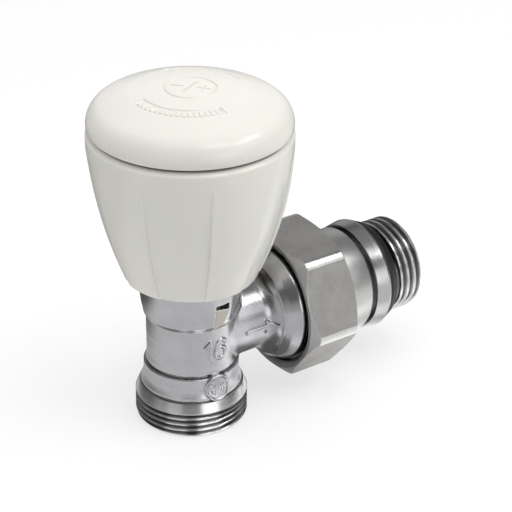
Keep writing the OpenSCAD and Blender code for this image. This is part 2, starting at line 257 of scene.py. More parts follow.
def joined(parts):
    """Several (vertices, faces) pairs as one."""
    verts, faces, offset = [], [], 0
    for part_verts, part_faces in parts:
        verts.append(part_verts)
        faces += [np.asarray(f) + offset for f in part_faces]
        offset += len(part_verts)
    return np.concatenate(verts), faces


def piece(name, shape, body, material, stands_for=(), sharp=32):
    """Makes a piece, rides it on its body, and lets it stand for CAD nodes."""
    obj = fill_mesh(name, shape[0], shape[1], sharp)
    obj.data.materials.append(material)
    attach(obj, body)
    if stands_for:
        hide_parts(*stands_for)
    return obj


def thread_radius(theta, h, crest, pitch, start, stop, fade=0.7):
    """Radius of a right-hand Whitworth thread: rounded ridges that run out at stop."""
    depth = 0.62 * pitch
    phase = np.mod((h - start) / pitch - theta / TAU + 0.5, 1) - 0.5
    cut_in = smooth_step(0.1, 0.46, np.abs(phase))
    run_out = smooth_step(stop - fade * pitch, stop, h)
    return crest - depth * cut_in * (1 - run_out)


# ---- The forged body, from a distance field

def outline_distance(points, r, h):
    """Signed distance to a closed outline, less than 0 inside it."""
    best = np.full(r.shape, np.inf)
    inside = np.zeros(r.shape, bool)
    for i, (r0, h0) in enumerate(points):
        r1, h1 = points[(i + 1) % len(points)]
        er, eh = r1 - r0, h1 - h0
        t = np.clip(((r - r0) * er + (h - h0) * eh) / (er * er + eh * eh), 0, 1)
        best = np.minimum(best, (r - r0 - er * t) ** 2 + (h - h0 - eh * t) ** 2)
        if eh:
            inside ^= ((h0 <= h) != (h1 <= h)) & (r < er * (h - h0) / eh + r0)
    return np.where(inside, -1, 1) * np.sqrt(best)


def blend_min(a, b, reach):
    """The union of two distances with a fillet."""
    mix = np.maximum(reach - np.abs(a - b), 0) / reach
    return np.minimum(a, b) - mix * mix * reach / 4


def blend_max(a, b, reach):
    return -blend_min(-a, -b, reach)


def stroke(x, z, start, end, half):
    """Distance to a straight stroke with round ends."""
    dx, dz = end[0] - start[0], end[1] - start[1]
    t = np.clip(((x - start[0]) * dx + (z - start[1]) * dz) / (dx * dx + dz * dz), 0, 1)
    return np.hypot(x - start[0] - dx * t, z - start[1] - dz * t) - half


DEEP = -4.0  # outlines of solid shapes run past the axis, so that the axis isn't a wall


def barrel_outline():
    """The lower rim, which curves in to an upright wall, the notch over it, and the barrel."""
    b = BARREL_R
    seam = THREAD_SEAM_Z
    top = COLLAR_Z + 0.2
    return [
        (DEEP, seam), (b + 1.1, seam), (b + 1.3, seam + 0.12), (b + 1.25, 8.5), (b + 1, 9.2), (b + 0.8, 9.9),
        (b + 0.7, 10.7), (b + 0.67, RIM_TOP_Z - 0.15), (b + 0.55, RIM_TOP_Z), (b - 0.1, RIM_TOP_Z + 0.1),
        (b - 0.2, RIM_TOP_Z + 0.35), (b + 0.2, RIM_TOP_Z + 0.6), (b + 0.12, 14.4), (b, 15.3),
        (b, top), (DEEP, top),
    ]


def collar_outline():
    """The collar under the hand cap: a short foot, then a long flare up to its full width."""
    b, c = BARREL_R, COLLAR_R
    flare = 19
    foot = COLLAR_Z
    return [
        (DEEP, 20), (b - 0.2, 20), (b - 0.2, foot - 0.05), (b + 0.05, foot), (b + 0.5, foot + 0.45),
        (b + 0.66, foot + 0.8), *arc(c - flare, 30.4, flare, -14.5, 0, 8),
        (c, BODY_TOP - 0.3), (c - 0.3, BODY_TOP), (DEEP, BODY_TOP),
    ]


def outlet_outline():
    """The neck, and the bell it opens into behind the union thread."""
    n, bell = NECK_R, BELL_R
    return [
        (DEEP, 0), (n, 0), (n, 13.4), *arc(n + 3.6, 13.6, 3.6, 180, 112, 8),
        (bell - 1.1, 18.3), (bell - 0.35, 19.7), (bell - 0.1, 20.1), (bell, 20.5), (bell, 21.3),
        (bell - 0.3, BELL_RIM_X), (DEEP, BELL_RIM_X),
    ]


def upright_bores():
    """The pipe socket, the seat, the chamber over it and the headwork's bore."""
    return [
        (DEEP, -1), (SOCKET_R, -1), (SOCKET_R, 9.5), (5.2, 10.7), (5.2, 13.5), (6.1, 13.5), (6.3, 12.7),
        (CHAMBER_R, 12.7), (CHAMBER_R, 26), (HEADWORK_R, 26), (HEADWORK_R, 40), (DEEP, 40),
    ]


def outlet_bore():
    return [(DEEP, 0), (WATERWAY_R, 0), (WATERWAY_R, 30), (DEEP, 30)]


def forging_distance(p):
    """Signed distance to the forged and turned body, at points p."""
    x, y, z = p.T
    r = np.hypot(x, y)
    out_r = np.hypot(y, z - OUTLET_Z)
    barrel = outline_distance(barrel_outline(), r, z)
    outlet = outline_distance(outlet_outline(), out_r, x)
    d = blend_min(barrel, outlet, 0.8)
    d = blend_min(d, outline_distance(collar_outline(), r, z), 0.5)
    d = raised_marks(d, x, y, z)
    for turn in (1, -1):
        px, py = x * turn, y * turn
        d = blend_max(d, -pocket(px, py, z), 0.15)
    d = np.maximum(d, -outline_distance(upright_bores(), r, z))
    return np.maximum(d, -outline_distance(outlet_bore(), out_r, x))


def pocket(x, y, z):
    """The clip pocket in the collar's side: a slot with a leaning floor, and a deeper slit at its top."""
    slot_z, slot_half = 27.05, 3.2
    slit_z, slit_half, slit_depth = 29.5, 0.75, 1.1
    width = np.abs(x - POCKET_X) - POCKET_HALF
    leaning_floor = (y + BARREL_R) * 0.97 + (x + 0.8) * 0.242
    slot = np.maximum(np.maximum(width, np.abs(z - slot_z) - slot_half), leaning_floor)
    slit = np.maximum(np.maximum(width, np.abs(z - slit_z) - slit_half), y + BARREL_R - slit_depth)
    return np.minimum(slot, slit)


def raised_marks(d, x, y, z):
    """Adds the flow arrow, the size mark and a plain round mark, each standing proud of the surface."""
    marks = (*arrow_mark(x, z), *size_mark(x, z), *round_mark(x, z))
    for mark, proud in marks:
        flat = np.maximum(blend_max(mark, d - proud, 0.25), y)
        d = blend_min(d, flat, 0.15)
    return d


def arrow_mark(x, z):
    up = OUTLET_Z + 0.2
    shaft = stroke(x, z, (8.8, up), (14, up), 0.5)
    head = np.maximum(13.4 - x, (x - 16.3) * 0.519 + np.abs(z - up) * 0.855)
    yield np.minimum(shaft, head), 0.5


def size_mark(x, z):
    """The number 16."""
    half = 0.34
    one_top = (-1.4, 21.4)
    one = np.minimum(stroke(x, z, (-1.4, 16.9), one_top, half), stroke(x, z, (-2.7, 20.2), one_top, half))
    yield one, 0.36
    bowl = np.abs(np.hypot(x - 1.1, z - 18.3) - 1.3) - half
    stem = stroke(x, z, (-0.15, 18.6), (0.15, 20.5), half)
    hook = np.maximum(np.abs(np.hypot(x - 1.25, z - 20.2) - 1.15) - half, 20.1 - z)
    yield np.minimum(np.minimum(bowl, stem), hook), 0.34


def round_mark(x, z):
    """A disc with a raised ring and four dots."""
    across, up = x + 0.2, z - 10.6
    away = np.hypot(across, up)
    yield away - 2.95, 0.2
    yield np.abs(away - 2.7) - 0.25, 0.32
    yield np.hypot(np.abs(across) - 1.1, np.abs(up) - 0.9) - 0.42, 0.3


def distance_surface(distance, low, high, step, coarse=5):
    """Quads on a distance's zero surface, by surface nets, then drawn onto the surface itself.
    The distance is first sampled coarsely, and only the blocks near the surface are sampled at every step."""
    low = np.array(low, float)
    blocks = np.ceil((np.array(high) - low) / (step * coarse)).astype(int)
    size = blocks * coarse + 1
    centres = (np.indices(blocks).reshape(3, -1).T + 0.5) * step * coarse + low
    at_centre = distance(centres).reshape(blocks)
    grid = np.repeat(np.repeat(np.repeat(at_centre, coarse, 0), coarse, 1), coarse, 2)
    grid = np.pad(grid, ((0, 1), (0, 1), (0, 1)), mode="edge")
    near = np.abs(grid) < step * coarse * 1.3
    where = np.argwhere(near)
    grid[near] = distance(where * step + low)
    inside = grid < 0
    corner = np.zeros(np.array(inside.shape) - 1, np.int8)
    offsets = [(i & 1, i >> 1 & 1, i >> 2 & 1) for i in range(8)]

    def cell_corner(values, offset):
        i, j, k = offset
        n0, n1, n2 = np.array(values.shape) - 1
        return values[i:i + n0, j:j + n1, k:k + n2]

    for offset in offsets:
        corner += cell_corner(inside, offset)
    active = (corner > 0) & (corner < 8)
    cells = np.argwhere(active)
    number = np.full(active.shape, -1, np.int64)
    number[active] = np.arange(len(cells))
    values = np.stack([cell_corner(grid, o)[active] for o in offsets], axis=1)
    total, hits = np.zeros((len(cells), 3)), np.zeros(len(cells))
    for a in range(8):
        for axis in range(3):
            b = a | 1 << axis
            if b == a:
                continue
            va, vb = values[:, a], values[:, b]
            cross = (va < 0) != (vb < 0)
            t = np.where(cross, va / np.where(cross, va - vb, 1), 0)
            point = np.array(offsets[a], float) + t[:, None] * np.eye(3)[axis]
            total += np.where(cross[:, None], point, 0)
            hits += cross
    verts = (cells + total / hits[:, None]) * step + low
    quads = []
    for axis in range(3):
        u, v = (axis + 1) % 3, (axis + 2) % 3
        here, ahead = [slice(None)] * 3, [slice(None)] * 3
        here[axis] = slice(0, -1)
        ahead[axis] = slice(1, None)
        cross = inside[tuple(here)] != inside[tuple(ahead)]
        at = np.argwhere(cross)
        at = at[(at[:, u] > 0) & (at[:, v] > 0) & (at[:, u] < size[u] - 1) & (at[:, v] < size[v] - 1)]
        step_u, step_v = np.eye(3, dtype=int)[u], np.eye(3, dtype=int)[v]
        ring = [at, at - step_u, at - step_u - step_v, at - step_v]
        quad = np.stack([number[tuple(c.T)] for c in ring], axis=1)
        flip = inside[tuple(at.T)]
        quad[~flip] = quad[~flip][:, ::-1]
        quads.append(quad)
    for _ in range(3):
        verts = drawn_on(distance, verts, step * 0.25)
    return verts, [np.concatenate(quads)]


def drawn_on(distance, verts, probe):
    """Each vertex moved along the distance's slope towards the surface."""
    here = distance(verts)
    slope = np.stack([distance(verts + probe * e) - distance(verts - probe * e) for e in np.eye(3)], axis=1)
    slope /= 2 * probe
    steep = np.maximum((slope ** 2).sum(1), 0.25)
    move = -here[:, None] * slope / steep[:, None]
    limit = np.maximum(np.linalg.norm(move, axis=1) / (2 * probe), 1)
    return verts + move / limit[:, None]


# ---- Materials

class Nodes:
    """A helper that adds nodes to a tree. A value is a number, a colour or another node's output."""

    def __init__(self, tree, place="Object"):
        self.tree = tree
        self.places = tree.nodes.new("ShaderNodeTexCoord").outputs
        self.place = self.places[place]

    def add(self, kind, **settings):
        node = self.tree.nodes.new("ShaderNode" + kind)
        for key, setting in settings.items():
            setattr(node, key, setting)
        return node

    def feed(self, socket, value):
        if isinstance(value, bpy.types.NodeSocket):
            self.tree.links.new(value, socket)
        else:
            socket.default_value = value

    def axes(self, vector):
        node = self.add("SeparateXYZ")
        self.feed(node.inputs["Vector"], vector)
        return node.outputs

    def toward(self, vector):
        """How far a place lies towards a direction."""
        node = self.add("VectorMath", operation="DOT_PRODUCT")
        self.feed(node.inputs[0], self.place)
        self.feed(node.inputs[1], vector)
        return node.outputs["Value"]

    def maths(self, operation, first, *others):
        """An operation on one value, or carried along a row of them."""
        for other in others or (0.0,):
            node = self.add("Math", operation=operation)
            self.feed(node.inputs[0], first)
            self.feed(node.inputs[1], other)
            first = node.outputs["Value"]
        return first

    def length(self, *parts):
        squares = [self.maths("MULTIPLY", part, part) for part in parts]
        return self.maths("SQRT", self.maths("ADD", *squares))

    def spread(self, value, low, high, start, stop, kind="LINEAR"):
        """Maps the range from low to high onto the one from start to stop."""
        node = self.add("MapRange", interpolation_type=kind)
        for key, number in zip(("From Min", "From Max", "To Min", "To Max"), (low, high, start, stop)):
            node.inputs[key].default_value = number
        self.feed(node.inputs["Value"], value)
        return node.outputs["Result"]

    def smooth(self, value, low, high, start=0.0, stop=1.0):
        return self.spread(value, low, high, start, stop, "SMOOTHSTEP")

    def mixed(self, first, second, share, blend="MIX", kind="RGBA"):
        node = self.add("Mix", data_type=kind, blend_type=blend)
        for key, value in (("Factor", share), ("A", first), ("B", second)):
            self.feed(node.inputs[key], value)
        return node.outputs["Result"]

    def ramp(self, value, low, high, dark, light):
        """Maps a value to a colour, or to a number when dark and light are numbers."""
        if not isinstance(dark, tuple):
            return self.spread(value, low, high, dark, light)
        return self.mixed((*dark, 1), (*light, 1), self.spread(value, low, high, 0.0, 1.0))

    def by_ray(self, camera, glossy, diffuse):
        """A value for each kind of ray."""
        ray = self.add("LightPath").outputs
        levels = (("Is Camera Ray", camera), ("Is Glossy Ray", glossy), ("Is Diffuse Ray", diffuse))
        return self.maths("ADD", *(self.maths("MULTIPLY", ray[kind], level) for kind, level in levels))


class Material(Nodes):
    """The nodes of a new material, in object space and metres."""

    def __init__(self, name):
        self.result = bpy.data.materials.new(name)
        self.result.use_nodes = True
        super().__init__(self.result.node_tree)
        self.shader = self.tree.nodes["Principled BSDF"]

    def noise(self, scale, detail=3.0, rough=0.55, place=None):
        node = self.add("TexNoise")
        node.inputs["Scale"].default_value = scale
        node.inputs["Detail"].default_value = detail
        node.inputs["Roughness"].default_value = rough
        self.feed(node.inputs["Vector"], place or self.place)
        return node.outputs["Fac"]

    def rings(self, axis, pitch):
        """Fine turning marks that run round an axis."""
        node = self.add("Mapping")
        node.inputs["Scale"].default_value = {"z": (0.02, 0.02, 1), "x": (1, 0.02, 0.02)}[axis]
        self.feed(node.inputs["Vector"], self.place)
        return self.noise(1 / (pitch * MM), 2.0, 0.6, node.outputs["Vector"])

    def bump(self, height, depth, before=None):
        """A bump of some depth in millimetres, over an earlier one if there is one."""
        node = self.add("Bump")
        node.inputs["Distance"].default_value = depth * MM
        node.inputs["Strength"].default_value = 1
        self.feed(node.inputs["Height"], height)
        if before is not None:
            self.feed(node.inputs["Normal"], before)
        return node.outputs["Normal"]

    def darkened(self, colour, share):
        return self.mixed(colour, share, 1, "MULTIPLY")

    def shade(self, colour, reach, deepest):
        """The colour with painted shade, darkened in corners where other surfaces lie within reach
        millimetres.
        """
        node = self.add("AmbientOcclusion", samples=8)
        node.inputs["Distance"].default_value = reach * MM
        return self.darkened(colour, self.ramp(node.outputs["AO"], 0.25, 0.85, deepest, 1.0))

    def set(self, **values):
        """Feeds the shader's inputs and gives the material."""
        for key, value in values.items():
            self.feed(self.shader.inputs[key.replace("_", " ")], value)
        return self.result


def satin_chrome():
    """Chrome over a blasted forging: bright, a little soft, with a fine cast grain and shallow waves.
    The collar and the outlet are smoother, and the neck's colour is darkened as painted shade."""
    n = Material("satin_chrome")
    grain, waves, blots = n.noise(2600, 4), n.noise(260, 2), n.noise(190, 3)
    x, y, z = n.axes(n.place)
    above = n.maths("GREATER_THAN", z, (COLLAR_Z + 0.3) * MM)
    on_collar = n.maths("MULTIPLY", above, n.maths("LESS_THAN", n.length(x, y), (COLLAR_R + 0.2) * MM))
    on_outlet = n.ramp(x, 8.5 * MM, 11.5 * MM, 0.0, 1.0)
    on_bell = n.ramp(x, 16.2 * MM, 17.5 * MM, 0.0, 1.0)
    smoothness = n.maths("MULTIPLY", n.maths("ADD", on_outlet, on_bell), 0.5)
    smoothness = n.maths("MAXIMUM", on_collar, smoothness)
    rough = n.maths("SUBTRACT", n.ramp(grain, 0.3, 0.7, 0.25, 0.33), n.maths("MULTIPLY", smoothness, 0.09))
    colour = n.ramp(blots, 0.35, 0.7, (0.54, 0.54, 0.555), (0.60, 0.60, 0.615))
    # Painted shade: the neck's colour is darkened, and the bell's a little less.
    neck_shade_share = n.maths("SUBTRACT", on_outlet, n.maths("MULTIPLY", on_bell, 0.6))
    colour = n.darkened(colour, n.ramp(neck_shade_share, 0.0, 1.0, 1.0, 0.72))
    colour = n.mixed(colour, (0.62, 0.59, 0.53, 1), pocket_floor(n, x, y, z))
    normal = n.bump(waves, 0.04, n.bump(grain, 0.006))
    return n.set(Base_Color=n.shade(colour, 1.5, 0.15), Metallic=1.0, Roughness=rough, Normal=normal)


def pocket_floor(n, x, y, z):
    """1 on the floor of the clip pocket, which is a little warmer than the chrome round it."""
    across = n.maths("ABSOLUTE", n.maths("SUBTRACT", x, POCKET_X * MM))
    between = n.maths("LESS_THAN", across, (POCKET_HALF - 0.1) * MM)
    inside = n.maths("MULTIPLY", n.maths("LESS_THAN", y, -9.3 * MM), n.maths("GREATER_THAN", y, -10.2 * MM))
    return n.maths("MULTIPLY", between, inside, n.maths("GREATER_THAN", z, (COLLAR_Z - 0.2) * MM))


def bright_chrome(name, axis, roughness=0.17, brightness=0.6):
    """Chrome on a turned surface: smooth, with faint turning marks."""
    n = Material(name)
    marks, blots = n.rings(axis, 0.25), n.noise(300, 3)
    colour = n.ramp(blots, 0.3, 0.7, (brightness * 0.93,) * 3, (brightness * 1.06,) * 3)
    return n.set(
        Base_Color=n.shade(colour, 1.5, 0.3), Metallic=1.0,
        Roughness=n.ramp(marks, 0.3, 0.7, roughness, roughness + 0.1), Normal=n.bump(marks, 0.012),
    )


def matt_nickel():
    """The nut's grey nickel: matt flats with a fine even grain, and brighter where a tool has cut it."""
    n = Material("matt_nickel")
    grain, blots, marks = n.noise(3800, 4, 0.65), n.noise(240, 4), n.rings("x", 0.2)
    _, y, z = n.axes(n.place)
    reach = n.length(y, n.maths("SUBTRACT", z, OUTLET_Z * MM))
    on_corners = n.maths("GREATER_THAN", reach, NUT_CUT_R * MM)
    faces_along = n.maths("ABSOLUTE", n.axes(n.places["Normal"])["X"])
    on_chamfer = n.maths("MULTIPLY", n.maths("GREATER_THAN", faces_along, 0.2), 0.4)
    on_boss = n.maths("MULTIPLY", n.maths("LESS_THAN", reach, (NUT_HALF - 0.5) * MM), 0.75)
    cut = n.maths("MAXIMUM", on_corners, on_chamfer, on_boss)
    speckle = n.maths("ADD", n.maths("MULTIPLY", blots, 0.4), n.maths("MULTIPLY", grain, 0.6))
    drawn = n.ramp(speckle, 0.35, 0.65, (0.32, 0.314, 0.306), (0.46, 0.452, 0.44))
    bare = n.ramp(blots, 0.3, 0.7, (0.58, 0.575, 0.57), (0.68, 0.675, 0.67))
    rough = n.maths("SUBTRACT", n.ramp(grain, 0.3, 0.7, 0.52, 0.62), n.maths("MULTIPLY", cut, 0.3))
    return n.set(
        Base_Color=n.shade(n.mixed(drawn, bare, cut), 1.5, 0.3), Metallic=n.ramp(cut, 0.0, 1.0, 0.7, 1.0),
        Roughness=rough, Normal=n.bump(marks, 0.01, n.bump(grain, 0.02)),
    )


def gloss_white():
    """Moulded white ABS: warm, glossy, with a trace of orange peel."""
    n = Material("gloss_white")
    peel, blots = n.noise(900, 2), n.noise(60, 2)
    colour = n.ramp(blots, 0.3, 0.7, (0.875, 0.855, 0.80), (0.90, 0.88, 0.825))
    return n.set(
        Base_Color=n.shade(colour, 0.6, 0.65), Roughness=n.ramp(peel, 0.3, 0.7, 0.17, 0.24),
        Normal=n.bump(peel, 0.006), Subsurface_Weight=0.15, Subsurface_Scale=2 * MM,
    )


def black_rubber():
    """Seal rubber: black, with a trace of dust."""
    n = Material("black_rubber")
    grain, dust = n.noise(2200, 3), n.noise(260, 4)
    return n.set(
        Base_Color=n.ramp(dust, 0.35, 0.8, (0.003, 0.003, 0.004), (0.010, 0.010, 0.011)),
        Roughness=n.ramp(grain, 0.3, 0.7, 0.42, 0.6), Normal=n.bump(grain, 0.03),
    )


def bare_brass():
    """Turned brass with fine turning marks."""
    n = Material("bare_brass")
    marks, blots = n.rings("z", 0.2), n.noise(220, 4)
    return n.set(
        Base_Color=n.ramp(blots, 0.3, 0.7, (0.55, 0.38, 0.13), (0.72, 0.52, 0.20)),
        Metallic=1.0, Roughness=n.ramp(marks, 0.3, 0.7, 0.2, 0.36), Normal=n.bump(marks, 0.015),
    )


def zinc_steel():
    """Zinc-plated spring steel and screws."""
    n = Material("zinc_steel")
    grain, blots = n.noise(1800, 3), n.noise(350, 3)
    return n.set(
        Base_Color=n.ramp(blots, 0.3, 0.7, (0.42, 0.43, 0.45), (0.56, 0.57, 0.58)),
        Metallic=1.0, Roughness=n.ramp(grain, 0.3, 0.7, 0.25, 0.38), Normal=n.bump(grain, 0.01),
    )


def white_nylon():
    """Off-white nylon, a little waxy."""
    n = Material("white_nylon")
    grain, blots = n.noise(1400, 3), n.noise(150, 2)
    return n.set(
        Base_Color=n.ramp(blots, 0.3, 0.7, (0.68, 0.66, 0.58), (0.74, 0.72, 0.64)),
        Roughness=n.ramp(grain, 0.3, 0.7, 0.42, 0.55), Normal=n.bump(grain, 0.01),
        Subsurface_Weight=0.3, Subsurface_Scale=2 * MM,
    )


CHROME = satin_chrome()
TURNED_Z = bright_chrome("turned_chrome_inlet", "z")
TURNED_X = bright_chrome("turned_chrome_outlet", "x")
TURNED_RING = bright_chrome("turned_chrome_ring", "x", 0.2, 0.43)
NICKEL = matt_nickel()
WHITE = gloss_white()
RUBBER = black_rubber()
BRASS = bare_brass()
STEEL = zinc_steel()
NYLON = white_nylon()


# ---- Pieces of the valve body

def forging():
    step = 0.22
    low, high = (-12.6, -13.3, OUTLET_Z - 13.3), (BELL_RIM_X + 0.5, 13.3, BODY_TOP + 0.5)
    shape = distance_surface(forging_distance, low, high, step)
    piece("valve_body_forging", shape, "valve", CHROME, ["valve_body"], sharp=50)


def inlet_thread():
    """The adaptor thread and the turned shoulder below the forging, with the pipe socket inside them."""
    crest = INLET_R
    thread_top = 5.5
    outline = divided(rounded([
        (9.4, 0), (crest - 0.1, 0), (crest, 0.01), (crest, thread_top),
        (crest - 0.02, thread_top + 0.25, 0.1), (crest - 0.85, SHOULDER_Z, 0.06),
        (crest - 1.25, SHOULDER_Z + 0.08), (crest - 1.4, THREAD_SEAM_Z),
        (SOCKET_R, THREAD_SEAM_Z), (SOCKET_R, 1.35),
    ]), FINE_PITCH / 20, lambda r, h: r > crest - 0.02)

    def cut(theta, r, h):
        thread = thread_radius(theta, h, crest, FINE_PITCH, start=0.9, stop=5.9)
        # The last groove runs out into a narrow neck under the shoulder.
        neck = crest - 0.7 + 0.7 * smooth_step(0.12, 0.42, np.abs(h - 5.1))
        thread = np.minimum(thread, neck)
        chamfer = crest - 0.75 + h * 1.1
        on_thread = (r > crest - 0.02) & (h <= thread_top + 0.01)
        return np.where(on_thread, np.minimum(np.minimum(thread, chamfer), r), np.minimum(r, chamfer)), h

    piece("inlet_thread", turned(outline, change=cut), "valve", TURNED_Z)


def union_thread():
    """The outlet's G 3/4 thread under the nut, with the tailpiece's socket inside it."""
    outline = divided([
        (WATERWAY_R, BELL_RIM_X), (11.9, BELL_RIM_X), (12, 21.9), (UNION_R, 21.95), (UNION_R, UNION_END),
        (UNION_BORE_R, UNION_END), (UNION_BORE_R, 26.5), (WATERWAY_R, 24.7),
    ], GAS_PITCH / 20, lambda r, h: r > UNION_R - 0.02)

    def cut(theta, r, h):
        start, stop = BELL_RIM_X + 0.95, UNION_END + 4
        thread = thread_radius(theta, h, UNION_R, GAS_PITCH, start, stop)
        chamfer = UNION_R - 1.2 + (UNION_END - h) * 1.2
        return np.where(r > UNION_R - 0.02, np.minimum(thread, chamfer), np.minimum(r, chamfer)), h

    piece("union_thread", turned_along_x(outline, change=cut), "valve", TURNED_X)


# ---- Pieces of the hand cap

SIDE_R = 75.0
WIDEST_Z = 65.3
WALL = 1.7


def skirt_radius(z):
    return CAP_R - SIDE_R + np.sqrt(SIDE_R ** 2 - (WIDEST_Z - z) ** 2)


def finger_depth(z):
    """Depth of a finger recess: it runs out at its top and thins towards the rim."""
    t = np.clip((FINGER_TOP_Z - z) / (FINGER_TOP_Z - RIM_Z), 0, 1)
    return FINGER_DEPTH * np.sin(np.radians(160 * t)) ** 0.7


def finger_share(theta):
    """1 in a finger recess and 0 between recesses, with a narrow rounded wall on each side."""
    wall = 0.5
    turn = (np.degrees(theta) - FINGER_AT + 180 / FINGERS) % (360 / FINGERS) - 180 / FINGERS
    return 1 - smooth_step(FINGER_DEG / 2 - wall, FINGER_DEG / 2 + wall, np.abs(turn))


def cap_skirt():
    """The skirt with its web and hub. The hub's socket has twelve flats, which drive the bush."""
    hub_r, socket_r = 8.0, 6.2
    hub_low, hub_high = low_high("drive_bush")[0][2] + 1.45, low_high("cap_screw_washer")[0][2] - 0.02
    web, rib_low, rib_in = 53.0, 48.2, 7.7
    rim_r, top_r = skirt_radius(RIM_Z), skirt_radius(JOINT_Z)
    side = [(skirt_radius(z), z) for z in np.linspace(RIM_Z + 1.3, JOINT_Z - 0.8, 60)]
    inner_down = [(skirt_radius(z) - WALL, z) for z in np.linspace(JOINT_Z - 0.2, web + 1.8, 12)]
    inner_low = [(skirt_radius(z) - WALL, z) for z in np.linspace(web, RIM_Z + 1.5, 16)]
    outline = [
        (rim_r - 0.75, RIM_Z), (rim_r - 0.35, RIM_Z + 0.1),
        (rim_r + 0.12, RIM_Z + 0.45), (rim_r + 0.42, RIM_Z + 0.85),
        *side,
        (top_r - 0.04, JOINT_Z - 0.72), (top_r - 0.14, JOINT_Z - 0.58), (top_r - 0.7, JOINT_Z - 0.2),
        (top_r - 0.95, JOINT_Z - 0.05), (top_r - 1.1, JOINT_Z), (top_r - WALL + 0.2, JOINT_Z),
        *inner_down,
        (hub_r, web + 1.8), (hub_r, hub_high), (socket_r, hub_high), (socket_r, hub_low), (hub_r, hub_low),
        (hub_r, web),
        *inner_low,
        (rim_r - WALL + 0.15, RIM_Z + 0.2), (rim_r - WALL + 0.4, RIM_Z),
    ]

    def shape(theta, r, h):
        outside = r > skirt_radius(np.clip(h, RIM_Z, JOINT_Z)) - 0.9
        depth = finger_depth(np.clip(h, RIM_Z, FINGER_TOP_Z)) * finger_share(theta)
        r = np.where(outside, r - depth, r)
        corner = math.pi / 12
        flats = socket_r * math.cos(corner) / np.cos(np.mod(theta, 2 * corner) - corner)
        return np.where(np.abs(r - socket_r) < 0.001, flats, r), h

    recesses = [FINGER_AT + 360 * i / FINGERS for i in range(FINGERS)]
    walls = [middle + side * FINGER_DEG / 2 for middle in recesses for side in (-1, 1)]
    shell = turned(outline, gathered(2.0, walls, 0.9, 19, 0.05), shape)
    piece("cap_skirt_shell", shell, "cap", WHITE, ["cap_skirt"])
    rib = (skirt_radius(rib_low) - rib_in - 0.7, 1.2, web - rib_low + 1)
    ribs = [block((rib_in, -0.6, rib_low), rib, a + 18) for a in range(0, 360, 60)]
    rest = CLIP_Z - 0.02
    posts = [block((17.6, -0.9, web + 1), (2, 1.8, rest - web - 1), a) for a in range(30, 360, 60)]
    piece("cap_skirt_ribs", joined(ribs + posts), "cap", WHITE)


MARKS_MIDDLE = math.radians(-138)


def groove(distance, half, depth):
    """A rounded groove's depth at a distance from its middle."""
    return depth * (1 - smooth_step(half * 0.35, half * 1.25, np.abs(distance)))


def dome_marks(theta, r):
    """Depth of the marks on the dome: a ring with plus and minus, a graduated band and a turning arrow."""
    half, depth = 0.28, 0.26
    ring_r, band_r, arrow_r = 5.2, 11.15, 11.9
    turn = np.mod(theta - MARKS_MIDDLE + math.pi, TAU) - math.pi
    across, along = r * np.sin(turn), r * np.cos(turn)
    marks = groove(r - ring_r, half, depth)
    for line in ((-3.9, 0, -1.7, 0), (3.9, 0, 1.7, 0), (2.8, -1.1, 2.8, 1.1), (0.7, -2.6, -0.7, 2.6)):
        bar = stroke(across, along, line[:2], line[2:], 0)
        marks = np.maximum(marks, groove(bar, 0.24, depth))
    # The band on the near side, with its row of ticks.
    band = math.radians(49)
    inside = np.maximum(np.abs(r - band_r) - 1.0, (np.abs(turn) - band) * band_r)
    marks = np.maximum(marks, groove(inside, half, depth))
    spacing = 2 * band / 17
    tick = (np.mod(turn + band, spacing) - spacing / 2) * r
    fine = np.maximum(np.abs(tick), np.abs(r - band_r) - 0.75)
    marks = np.maximum(marks, np.where(np.abs(turn) < band, groove(fine, half * 0.8, depth * 0.8), 0))
    # The arrow on the far side: an arc with two strokes at its tip.
    back = np.mod(turn, TAU) - math.pi
    sweep = math.radians(42)
    past_end = (np.abs(back) - sweep) * arrow_r
    curve = np.where(past_end < 0, np.abs(r - arrow_r), np.hypot(r - arrow_r, past_end))
    marks = np.maximum(marks, groove(curve, half, depth))
    tip = (back - sweep) * arrow_r
    for side in (-1, 1):
        wing = stroke(tip, r - arrow_r, (0.3, 0), (-1.5, side * 1.1), 0)
        marks = np.maximum(marks, groove(wing, half, depth))
    return marks


def top_disc():
    """The dome with its marks, over a ring that clips inside the skirt."""
    shoulder, crown = 4.9, 64.0
    under = JOINT_Z + 0.25
    clip_r = skirt_radius(JOINT_Z) - WALL - 0.15
    full = under + 0.1
    clip_in = clip_r - 1.5
    low_ring = CLIP_Z + 3.5
    lean = 66
    slopes = np.linspace(math.asin(12.6 / crown), 0, 130)
    crown_points = [(crown * math.sin(a), DISC_TOP - crown * (1 - math.cos(a))) for a in slopes]
    edge = arc(DISC_R - shoulder, under + 1.3, shoulder, 4, lean, 26)
    # A curve that leaves the shoulder's arc along its tangent and runs on to the crown.
    first, last = np.array(edge[-1]), np.array(crown_points[0])
    bend = first + np.array([-math.sin(math.radians(lean)), math.cos(math.radians(lean))]) * 2.4
    shares = np.linspace(0.05, 0.95, 14)
    bridge = [tuple((1 - t) ** 2 * first + 2 * t * (1 - t) * bend + t * t * last) for t in shares]
    outline = [
        (0, DISC_TOP - 1.8), (13.5, 72.2), (17, 70), (clip_in, 69), (clip_in, low_ring),
        (clip_r, low_ring), (clip_r, full - 0.25), (DISC_R - 1.1, under), (DISC_R - 0.5, under + 0.3),
        (DISC_R - 0.15, under + 0.6), (DISC_R - 0.02, under + 0.95),
        *edge, *bridge, *crown_points,
    ]

    def engrave(theta, r, h):
        on_top = h > DISC_TOP - 1.75
        return r, np.where(on_top & (r < 13.4) & (r > 0), h - dome_marks(theta, r), h)

    thetas = np.linspace(0, TAU, 721)[:-1]
    dome = turned(outline, thetas, engrave, closed=False)
    piece("top_disc_dome", dome, "disc", WHITE, ["top_disc"])
    clips = [clip_segment(clip_in, clip_r, CLIP_Z, low_ring + 0.3, a + 9, a + 51) for a in range(0, 360, 60)]
    piece("top_disc_clips", joined(clips), "disc", WHITE)


